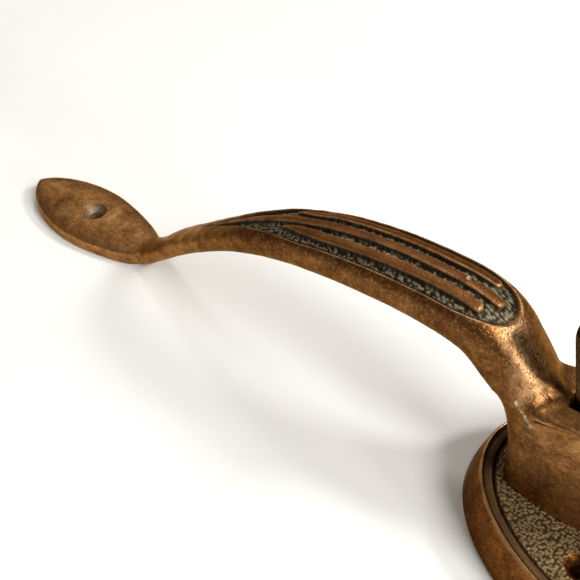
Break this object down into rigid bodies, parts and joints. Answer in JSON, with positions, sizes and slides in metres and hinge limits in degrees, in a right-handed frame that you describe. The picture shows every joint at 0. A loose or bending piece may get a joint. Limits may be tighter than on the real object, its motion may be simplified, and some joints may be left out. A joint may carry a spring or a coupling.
{
  "type": "thumb-latch door pull",
  "caption": "Cast bronze door pull: leaf-shaped screw foot, arched ribbed grip and an oval back plate whose hollow housing holds a sprung thumb lever.",
  "frame": {"origin": "middle of the whole length, on the plane of the flat backs of foot and plate (the door's face)", "axes": "+X up the door, from the screw foot to the latch plate; +Z away from the door; +Y across the handle"},
  "size_m": [0.2964, 0.0708, 0.0784],
  "materials": {
    "pull_handle": "worn copper-toned bronze casting, browned, dark in its stippled recess",
    "latch_plate": "worn bronze rim, grey-green stippled field",
    "thumb_lever": "dark browned bronze",
    "lift_tail": "dull oiled steel",
    "rivets": "dull steel, hammered heads",
    "pivot_pin": "browned bronze with worn ends",
    "washers": "dull pressed steel",
    "return_spring": "dark oiled spring wire",
    "screws": "dull slotted steel"
  },
  "bodies": {
    "base": {"pull_handle": "pull_handle", "latch_plate": "latch_plate", "pivot_pin": "pivot_pin", "pivot_washer_near": "washers", "pivot_washer_far": "washers", "return_spring": "return_spring", "housing_screw_front": "screws", "housing_screw_rear": "screws", "screw_washer_front": "washers", "screw_washer_rear": "washers"},
    "lever": {"thumb_lever": "thumb_lever", "lift_tail": "lift_tail", "tail_rivet_upper": "rivets", "tail_rivet_lower": "rivets"}
  },
  "joints": [
    {"name": "thumb_press", "type": "hinge", "parent": "base", "child": "lever", "pos_m": [0.07635, 0, 0.022], "axis": [0, -1, 0], "range_deg": [0, 8], "stiffness_Nm_per_rad": 0.25, "springref_deg": -20.05, "deforming": ["return_spring"]}
  ]
}
